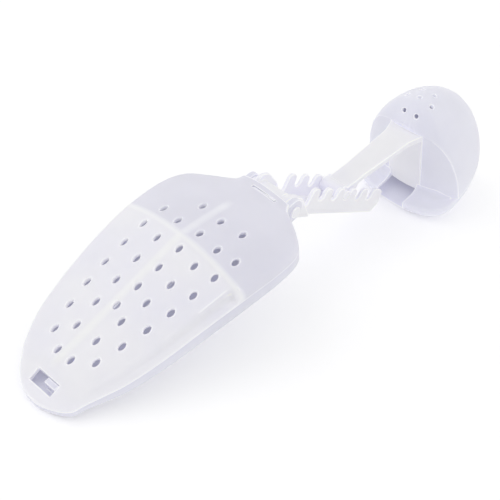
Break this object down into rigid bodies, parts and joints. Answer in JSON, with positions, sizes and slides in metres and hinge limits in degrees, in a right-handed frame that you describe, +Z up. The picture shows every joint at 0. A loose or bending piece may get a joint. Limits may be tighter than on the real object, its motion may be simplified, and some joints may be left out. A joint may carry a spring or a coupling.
{
  "type": "shoe stretcher",
  "caption": "Adjustable plastic shoe tree: vented forefoot, hinged notched rack, and a hollow heel on an arm that drops into the rack's notches.",
  "frame": {"origin": "centre of the bounding box at the level the tree stands on", "axes": "+X from the toe to the heel, +Y across to the wearer's right, +Z up; the tree stands on its toe and on the front edge of its heel"},
  "size_m": [0.2876, 0.0704, 0.0639],
  "materials": {
    "frosted_plastic": "frosted, translucent, injection moulded"
  },
  "bodies": {
    "forefoot": {"top_shell": "frosted_plastic", "sole_shell": "frosted_plastic", "hinge_pin": "frosted_plastic"},
    "rack": {"rack": "frosted_plastic"},
    "cross_pin": {"arm_pin": "frosted_plastic"},
    "heel": {"arm": "frosted_plastic", "heel_cap": "frosted_plastic", "heel_base": "frosted_plastic"}
  },
  "joints": [
    {"name": "rack_hinge", "type": "hinge", "parent": "forefoot", "child": "rack", "pos_m": [-0.02056, -0.00308, 0.04606], "axis": [0, -1, 0], "range_deg": [-20, 36]},
    {"name": "pin_lift", "type": "slide", "parent": "rack", "child": "cross_pin", "axis": [0.3543, 0, 0.9351], "range_m": [0, 0.008]},
    {"name": "arm_hinge", "type": "hinge", "parent": "cross_pin", "child": "heel", "pos_m": [0.02764, -0.00308, 0.03239], "axis": [0, -1, 0], "range_deg": [-15, 60]}
  ]
}
